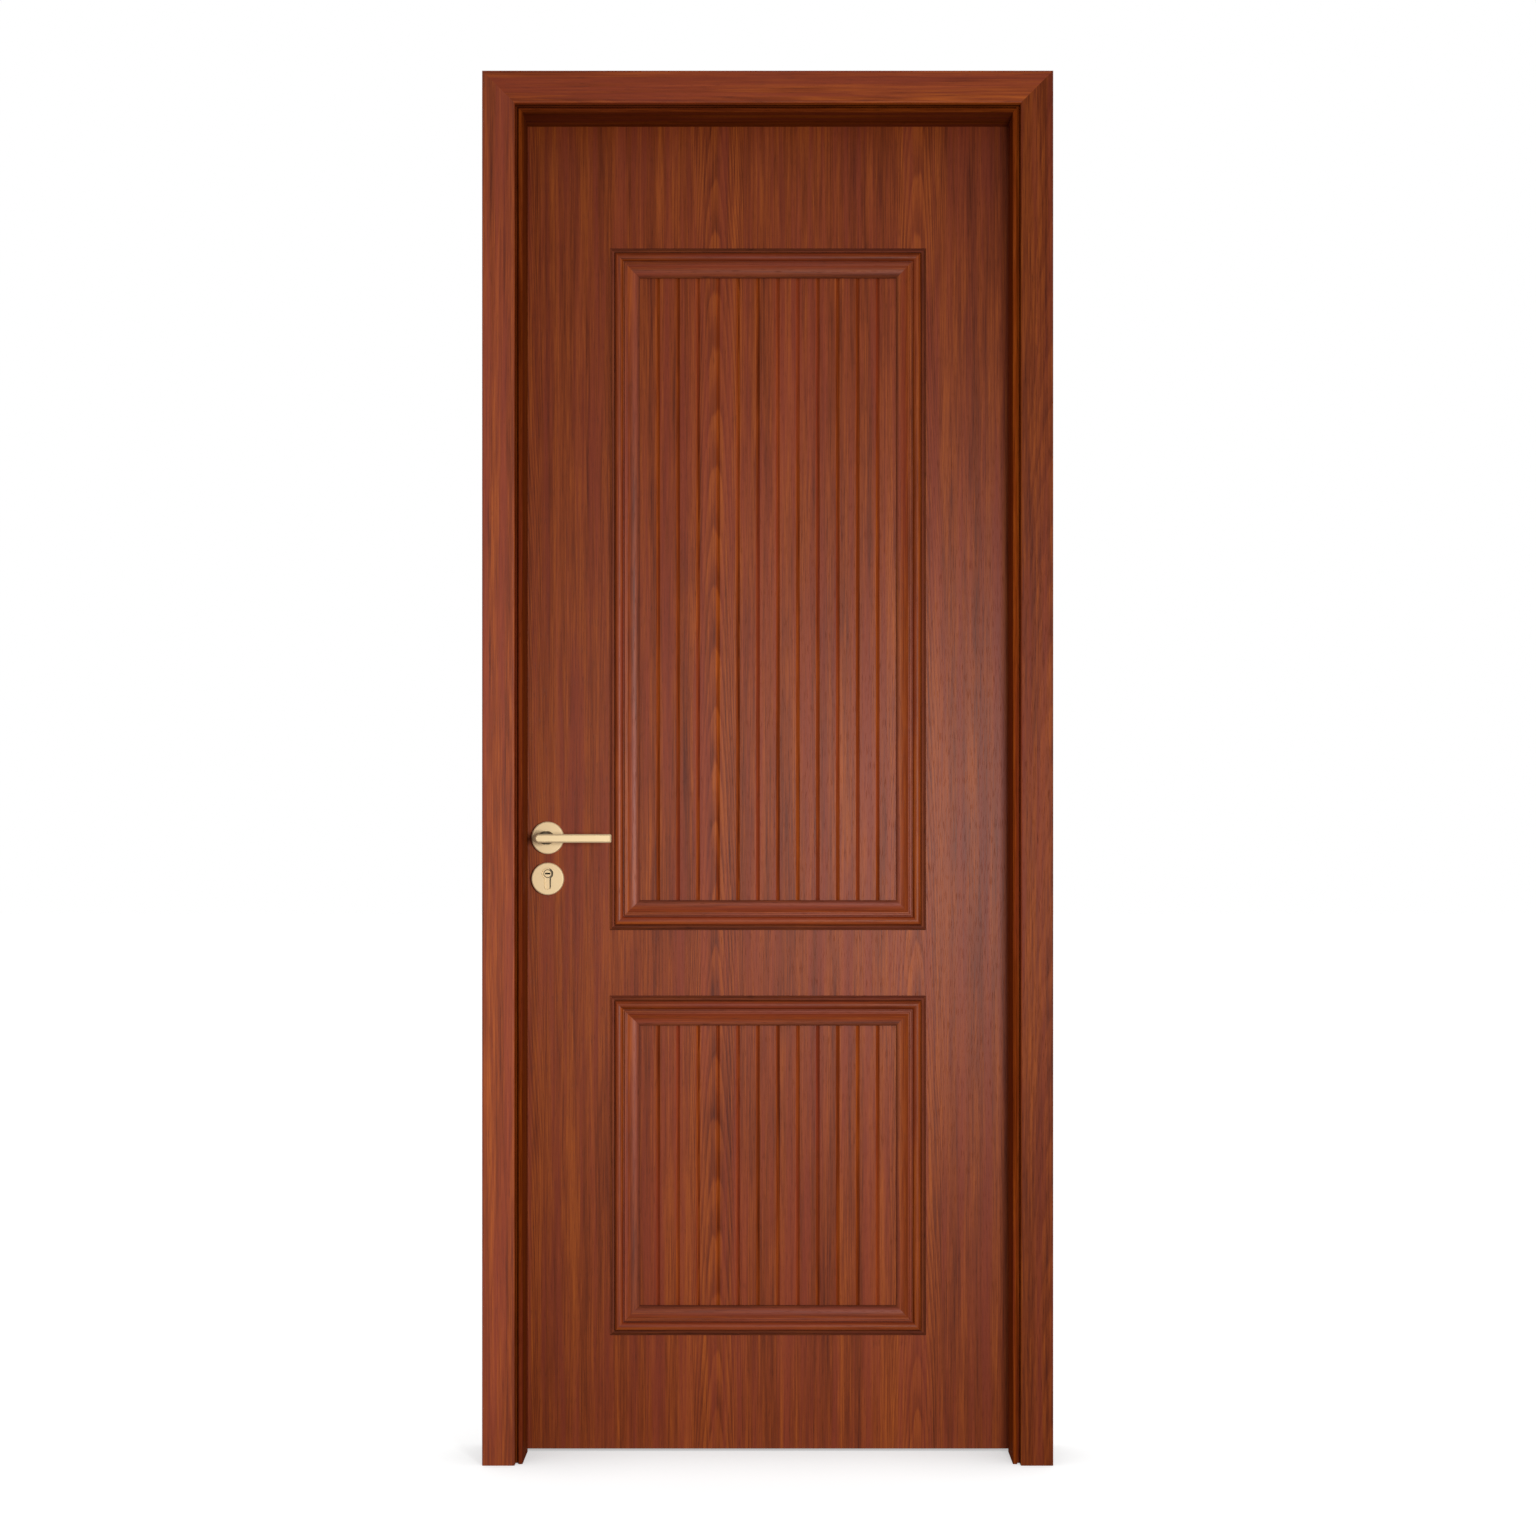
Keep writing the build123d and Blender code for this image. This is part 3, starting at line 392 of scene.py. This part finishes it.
def mitredStick(profile, girth, start, end, inward, outward, offset):
    # each profile point (a, h) goes to start plus a inward plus h outward, and runs to end on the
    # same line; both ends are cut back by a, so that they meet the next sticks at 45 degrees
    start, end, inward, outward = (np.array(v, dtype=float) for v in (start, end, inward, outward))
    along = end - start
    length = np.linalg.norm(along)
    along = along / length
    across, high = profile[:, 0], profile[:, 1]
    shape = across[:, None] * inward + high[:, None] * outward
    first = start + shape + across[:, None] * along
    last = end + shape - across[:, None] * along
    vertices = np.vstack([first, last])
    uv = np.vstack([np.stack([girth, across], axis=1), np.stack([girth, length - across], axis=1)])
    uv = uv + offset
    # painted shade for each point of the section, by how far it lies from the outer edge
    recessShade = np.tile(np.interp(across, moulding["recessShadeAt"], moulding["recessShadeShare"]), 2)
    count = len(profile)
    near = np.arange(count)
    far = np.roll(near, -1)
    sides = np.stack([near, far, far + count, near + count], axis=1)
    if np.dot(np.cross(along, inward), outward) > 0:
        sides = sides[:, ::-1]
        caps = [list(range(count)), list(range(2 * count - 1, count - 1, -1))]
    else:
        caps = [list(range(count - 1, -1, -1)), list(range(count, 2 * count))]
    return vertices, sides.tolist() + caps, uv, recessShade


def mouldingFrame(panel, side):
    # four sticks round one panel, by place
    low, high = moulding[panel]
    half = moulding["panelHalf"] + moulding["width"]
    face = moulding[side + "Face"]
    outward = (0, -1, 0) if side == "front" else (0, 1, 0)
    profile, girth = mouldingProfile()
    corners = {
        "bottom": ((-half, face, low), (half, face, low), (0, 0, 1)),
        "right": ((half, face, low), (half, face, high), (-1, 0, 0)),
        "top": ((half, face, high), (-half, face, high), (0, 0, -1)),
        "left": ((-half, face, high), (-half, face, low), (1, 0, 0)),
    }
    sticks = {}
    for turn, (place, (start, end, inward)) in enumerate(corners.items()):
        offset = moulding["grainShift"] * turn
        sticks[place] = mitredStick(profile, girth, start, end, inward, outward, offset)
    return sticks


def joined(shells):
    # several closed shells as one mesh
    vertices, faces, uv, recessShade, shift = [], [], [], [], 0
    for points, polygons, places, shares in shells:
        vertices.append(points)
        uv.append(places)
        recessShade.append(shares)
        faces += [[index + shift for index in polygon] for polygon in polygons]
        shift += len(points)
    return np.vstack(vertices), faces, np.vstack(uv), np.concatenate(recessShade)


for panel in ("upper", "lower"):
    for place, shell in mouldingFrame(panel, "front").items():
        film = leftStickFilm if place == "left" else stickFilm
        stick = meshPiece(f"stick_front_{panel}_{place}", *shell, film)
        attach(stick, "leaf")
        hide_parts(f"front_{panel}_moulding_{place}")
    backShell = joined(mouldingFrame(panel, "back").values())
    sticks = meshPiece(f"sticks_back_{panel}", *backShell, stickFilm)
    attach(sticks, "leaf")
    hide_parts(f"back_{panel}_moulding")
print("mouldings planted round both panels, on both faces")


metalLook = {
    "patchNoise": (60.0, 60.0, 3.0, 0.6), "patchRough": 0.16,
    "brushShade": 0.08, "brushRough": 0.06, "bump": 0.00001,
    "paintedShadeDepth": 0.82,
}
brassLook = dict(metalLook, colour=srgb(236, 210, 165), metallic=0.55, rough=0.56,
                 brushNoise=(2400.0, 60.0, 2.0, 0.6), mottle=0.10)
steelLook = dict(metalLook, colour=srgb(176, 174, 168), metallic=0.8, rough=0.38,
                 brushNoise=(1500.0, 200.0, 2.0, 0.6), mottle=0.24)
screwLook = dict(metalLook, colour=srgb(196, 180, 140), metallic=0.8, rough=0.32,
                 brushNoise=(2000.0, 2000.0, 2.0, 0.6), mottle=0.20)

# where painted shade falls on the lever's neck and round the key
paintedShade = {
    "axisX": -0.339, "barHeight": 0.944, "barHalf": (0.0061, 0.0068),
    "keyHeight": 0.890, "rimRadius": 0.0060, "rimWidth": (0.0003, 0.0010),
    "tailSide": (0.0024, 0.0034), "keywayHalf": (0.0040, 0.0013),
}


def neckPaintedShade(tree, parts):
    # painted shade where the lever's neck shows above and below its bar
    off = calc(tree, "ABSOLUTE", calc(tree, "SUBTRACT", parts[2], paintedShade["barHeight"]))
    return spread(tree, off, *paintedShade["barHalf"])


def keyPaintedShade(tree, parts):
    # painted shade round the plug's rim, in the keyway, and down one side of the cylinder's tail
    aside = calc(tree, "SUBTRACT", parts[0], paintedShade["axisX"])
    above = calc(tree, "SUBTRACT", parts[2], paintedShade["keyHeight"])
    squares = calc(tree, "ADD", product(tree, aside, aside), product(tree, above, above))
    radius = calc(tree, "SQRT", squares)
    fromRim = calc(tree, "ABSOLUTE", calc(tree, "SUBTRACT", radius, paintedShade["rimRadius"]))
    rim = spread(tree, fromRim, *paintedShade["rimWidth"], 1.0, 0.0)
    tail = product(tree, spread(tree, aside, *paintedShade["tailSide"]),
                   calc(tree, "GREATER_THAN", radius, paintedShade["rimRadius"]))
    halfWide, halfHigh = paintedShade["keywayHalf"]
    keyway = product(tree, calc(tree, "LESS_THAN", calc(tree, "ABSOLUTE", aside), halfWide),
                     calc(tree, "LESS_THAN", calc(tree, "ABSOLUTE", above), halfHigh))
    return calc(tree, "MAXIMUM", keyway, calc(tree, "MAXIMUM", rim, tail))


def metalMaterial(name, look, paintedShadeOf=None):
    # fine brushing along the piece, with slow patches of duller and darker metal
    material, tree, shader = newMaterial(name)
    place = levelPlace(tree)
    brush = noise(tree, place, *look["brushNoise"])
    patch = noise(tree, place, *look["patchNoise"])
    shade = sway(tree, patch, look["mottle"], 1.0)
    shade = sway(tree, brush, look["brushShade"], shade)
    # painted shade, where a function for it is given
    if paintedShadeOf:
        dark = paintedShadeOf(tree, addNode(tree, "SeparateXYZ", {0: uprightPlace(tree)}).outputs)
        shade = product(tree, shade, calc(tree, "MULTIPLY_ADD", dark, -look["paintedShadeDepth"], 1.0))
    rough = sway(tree, patch, look["patchRough"], look["rough"])
    rough = calc(tree, "MULTIPLY_ADD", brush, look["brushRough"], rough)
    dress(tree, shader, scaled(tree, look["colour"][:3], shade), rough, brush, look["bump"])
    shader.inputs["Metallic"].default_value = look["metallic"]
    return material


satinBrass = metalMaterial("satinBrass", brassLook)
lockSteel = metalMaterial("lockSteel", steelLook)
screwSteel = metalMaterial("screwSteel", screwLook)
leverBrass = metalMaterial("leverBrass", brassLook, neckPaintedShade)
cylinderBrass = metalMaterial("cylinderBrass", brassLook, keyPaintedShade)
paint(["front_handle_rose", "back_handle_rose", "front_key_escutcheon", "back_key_escutcheon",
       "thumbturn", "lock_faceplate", "strike_plate",
       "hinge_frame_flags", "hinge_leaf_flags", "hinge_pins"], satinBrass)
paint(["front_lever", "back_lever"], leverBrass)
paint(["cylinder_body", "key_plug"], cylinderBrass)
paint(["lock_case", "lock_cover", "latch_bolt", "deadbolt", "cam", "follower", "spindle",
       "strike_box"], lockSteel)
paint(["strike_screws", "hinge_frame_screws", "hinge_leaf_screws", "faceplate_screws",
       "cylinder_screw", "rose_bolts"], screwSteel)

sealLook = {
    "colour": srgb(46, 30, 26), "rough": 0.72, "specular": 0.3,
    "pitNoise": (900.0, 900.0, 2.0, 0.6), "bump": 0.00004,
    "bloomNoise": (18.0, 5.0, 3.0, 0.6), "bloomShade": 0.5, "bloomRough": 0.12,
}


def rubberMaterial(name, look):
    # matt rubber with fine pits, and a faint bloom in patches
    material, tree, shader = newMaterial(name)
    place = uprightPlace(tree)
    pits = noise(tree, place, *look["pitNoise"])
    bloom = noise(tree, place, *look["bloomNoise"])
    shade = sway(tree, bloom, look["bloomShade"], 1.0)
    rough = calc(tree, "MULTIPLY_ADD", bloom, look["bloomRough"], look["rough"])
    dress(tree, shader, scaled(tree, look["colour"][:3], shade), rough, pits, look["bump"])
    shader.inputs["Specular IOR Level"].default_value = look["specular"]
    return material


sealRubber = rubberMaterial("sealRubber", sealLook)
paint(["seal_lock_side", "seal_hinge_side", "seal_head"], sealRubber)
print("metal and rubber set")


studio = {
    "floorHalf": 30.0,
    "floorColour": 0.42, "floorRough": 0.9,
    "floorGlow": 0.76,                # hidden from diffuse rays, so that it lights nothing
    # painted shade: how the glow dims close to what stands on the floor
    "shadeReach": 0.20, "shadeShare": 0.42, "shadeSamples": 3,
    "fill": 0.58,
    "backFill": 0.9,                  # from behind the door, which the key doesn't reach
    "fillTurn": (0.0, 0.4),           # how far back a direction leans while one becomes the other
    "roomGloss": 0.08,                # the dim room behind the camera, as a gloss shows it
    "worldEdge": 0.5, "floorEdge": 0.12,   # how gradually the white backdrop ends beside the door
    "keyPlace": (0.58, -2.50, 0.97), "keyAim": (0.0, 0.0, 0.92),
    "keySize": (0.35, 0.5), "keyPower": 19.5, "keySpread": math.radians(125),
}


def seenDirectly(tree, depth, edge):
    # 1 for what the camera sees straight or through glass, and for a gloss that shows the backdrop.
    # depth is positive behind the door: in front of it is only the dim room
    path = addNode(tree, "LightPath").outputs
    behind = spread(tree, depth, -edge, 0.0, studio["roomGloss"], 1.0)
    straight = calc(tree, "MAXIMUM", path["Is Camera Ray"], path["Is Transmission Ray"])
    return calc(tree, "MAXIMUM", straight, product(tree, path["Is Glossy Ray"], behind))


def softbox(name, place, aim, size, power, beam):
    light = bpy.data.lights.new(name, "AREA")
    light.shape = "RECTANGLE"
    light.size, light.size_y = size
    light.energy = power
    light.spread = beam
    lamp = bpy.data.objects.new(name, light)
    lamp.location = place
    lamp.rotation_euler = (Vector(aim) - Vector(place)).to_track_quat("-Z", "Y").to_euler()
    bpy.context.scene.collection.objects.link(lamp)


half = studio["floorHalf"]
floorMesh = bpy.data.meshes.new("floor")
floorCorners = [(-half, -half, 0), (half, -half, 0), (half, half, 0), (-half, half, 0)]
floorMesh.from_pydata(floorCorners, [], [(0, 1, 2, 3)])
floor = bpy.data.objects.new("floor", floorMesh)
bpy.context.scene.collection.objects.link(floor)
floorMaterial, tree, shader = newMaterial("studioFloor")
tone = studio["floorColour"]
shader.inputs["Base Color"].default_value = (tone, tone, tone, 1)
shader.inputs["Roughness"].default_value = studio["floorRough"]
shader.inputs["Specular IOR Level"].default_value = 0.0
shader.inputs["Emission Color"].default_value = (1, 1, 1, 1)
floorDepth = addNode(tree, "SeparateXYZ", {0: uprightPlace(tree)}).outputs[1]
seen = seenDirectly(tree, floorDepth, studio["floorEdge"])
# painted shade: the floor's glow is dimmed where something stands close
clear = addNode(tree, "AmbientOcclusion", {"Distance": studio["shadeReach"]},
                samples=studio["shadeSamples"]).outputs["AO"]
shadedGlow = studio["floorGlow"] * (1 - studio["shadeShare"])
glow = spread(tree, clear, 0.0, 1.0, shadedGlow, studio["floorGlow"])
tree.links.new(product(tree, seen, glow), shader.inputs["Emission Strength"])
floorMesh.materials.append(floorMaterial)

world = bpy.data.worlds.new("studio")
bpy.context.scene.world = world
world.use_nodes = True
tree = world.node_tree
tree.nodes.clear()
direction = addNode(tree, "TexCoord").outputs["Generated"]
depth = addNode(tree, "SeparateXYZ", {0: direction}).outputs[1]
seen = seenDirectly(tree, depth, studio["worldEdge"])
fill = spread(tree, depth, *studio["fillTurn"], studio["fill"], studio["backFill"])
diffuse = addNode(tree, "LightPath").outputs["Is Diffuse Ray"]
strength = calc(tree, "MULTIPLY_ADD", diffuse, fill, seen)
background = addNode(tree, "Background", {"Color": (1, 1, 1, 1), "Strength": strength})
addNode(tree, "OutputWorld", {"Surface": background.outputs[0]})
world.cycles.sampling_method = "NONE"     # so that every ray asks the world as what it is

softbox("key", studio["keyPlace"], studio["keyAim"], studio["keySize"], studio["keyPower"],
        studio["keySpread"])

cameraLook = {
    "place": (0.019, -4.096, 0.940), "tilt": math.radians(90),
    "lens": 62.3, "sensor": 36.0, "shift": (-0.0080, 0.0476),
}
cameraData = bpy.data.cameras.new("camera")
cameraData.lens = cameraLook["lens"]
cameraData.sensor_width = cameraLook["sensor"]
cameraData.shift_x, cameraData.shift_y = cameraLook["shift"]
camera = bpy.data.objects.new("camera", cameraData)
camera.location = cameraLook["place"]
camera.rotation_euler = (cameraLook["tilt"], 0, 0)
bpy.context.scene.collection.objects.link(camera)
bpy.context.scene.camera = camera
bpy.context.scene.view_settings.view_transform = "Standard"
print("studio and camera set")
